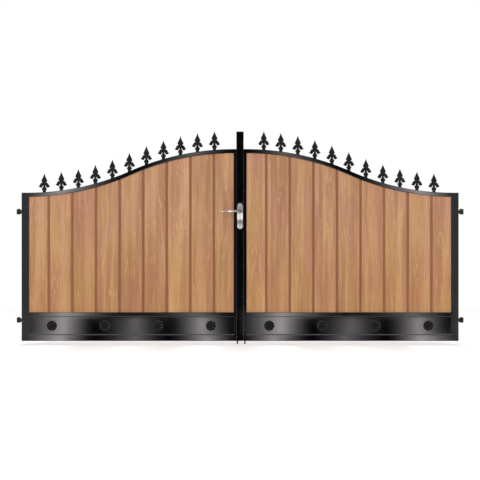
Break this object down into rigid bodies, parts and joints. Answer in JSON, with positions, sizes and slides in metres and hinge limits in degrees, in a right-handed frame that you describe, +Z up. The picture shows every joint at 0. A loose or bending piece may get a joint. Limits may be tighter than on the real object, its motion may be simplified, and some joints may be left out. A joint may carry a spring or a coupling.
{
  "type": "double driveway gate",
  "caption": "Pair of bow-topped driveway gates: steel frames filled with timber boards, kick panels with rosettes, spear finials, lever lock, drop bolts and bolt-on hinges.",
  "frame": {"origin": "midway between the posts and in the frames' middle plane, level with the tips of the dropped bolts", "axes": "+X along the gate to the right as seen from the front, +Y from the front face to the rear (the way the leaves open), +Z up"},
  "size_m": [3.658, 0.174, 1.7461],
  "materials": {
    "black_gloss": "gloss black powder coat on steel",
    "cast_black": "black-painted casting, slightly rough",
    "timber": "oiled warm brown boards with straight grain",
    "stainless": "bright stainless steel, softly polished",
    "zinc": "dull zinc plate"
  },
  "bodies": {
    "posts_side": {"post_brackets": "black_gloss", "hinge_pins": "black_gloss"},
    "left_leaf": {"left_hinge_stile": "black_gloss", "left_meeting_stile": "black_gloss", "left_bottom_rail": "black_gloss", "left_mid_rail": "black_gloss", "left_top_rail": "black_gloss", "left_kick_panel": "black_gloss", "left_rosettes": "cast_black", "left_finials": "cast_black", "left_board_1": "timber", "left_board_2": "timber", "left_board_3": "timber", "left_board_4": "timber", "left_board_5": "timber", "left_board_6": "timber", "left_board_7": "timber", "left_board_8": "timber", "left_board_9": "timber", "left_board_beads": "black_gloss", "left_board_screws": "zinc", "left_eye_bolts": "black_gloss", "left_hinge_nuts": "black_gloss", "left_drop_guides": "black_gloss", "lock_post": "black_gloss", "lock_post_caps": "cast_black", "lock_case": "zinc", "handle_plates": "stainless", "handle_plate_screws": "stainless", "lock_cylinder": "stainless"},
    "right_leaf": {"right_hinge_stile": "black_gloss", "right_meeting_stile": "black_gloss", "right_bottom_rail": "black_gloss", "right_mid_rail": "black_gloss", "right_top_rail": "black_gloss", "right_kick_panel": "black_gloss", "right_rosettes": "cast_black", "right_finials": "cast_black", "right_board_1": "timber", "right_board_2": "timber", "right_board_3": "timber", "right_board_4": "timber", "right_board_5": "timber", "right_board_6": "timber", "right_board_7": "timber", "right_board_8": "timber", "right_board_9": "timber", "right_board_beads": "black_gloss", "right_board_screws": "zinc", "right_eye_bolts": "black_gloss", "right_hinge_nuts": "black_gloss", "right_drop_guides": "black_gloss", "lock_keep": "stainless"},
    "left_bolt": {"left_drop_bolt": "black_gloss"},
    "right_bolt": {"right_drop_bolt": "black_gloss"},
    "lever": {"lock_follower": "zinc", "lever_spindle": "zinc", "lever_handles": "stainless"},
    "bolt": {"dead_bolt": "stainless"},
    "plug": {"cylinder_plug": "stainless"}
  },
  "joints": [
    {"name": "left_swing", "type": "hinge", "parent": "posts_side", "child": "left_leaf", "pos_m": [-1.811, 0.013, 0.6], "axis": [0, 0, 1], "range_deg": [0, 90]},
    {"name": "right_swing", "type": "hinge", "parent": "posts_side", "child": "right_leaf", "pos_m": [1.811, 0.013, 0.6], "axis": [0, 0, -1], "range_deg": [0, 90]},
    {"name": "left_bolt_lift", "type": "slide", "parent": "left_leaf", "child": "left_bolt", "axis": [0, 0, 1], "range_m": [0, 0.12]},
    {"name": "right_bolt_lift", "type": "slide", "parent": "right_leaf", "child": "right_bolt", "axis": [0, 0, 1], "range_m": [0, 0.12]},
    {"name": "lever_turn", "type": "hinge", "parent": "left_leaf", "child": "lever", "pos_m": [-0.00075, 0, 1.09], "axis": [0, 1, 0], "range_deg": [0, 45]},
    {"name": "bolt_throw", "type": "slide", "parent": "left_leaf", "child": "bolt", "axis": [1, 0, 0], "range_m": [0, 0.018]},
    {"name": "key_turn", "type": "hinge", "parent": "left_leaf", "child": "plug", "pos_m": [-0.00075, 0, 1.005], "axis": [0, 1, 0], "range_deg": [0, 360]}
  ],
  "couplings": [
    {"joint": "bolt_throw", "follows": "lever_turn", "m_per_rad": 0.022918}
  ]
}
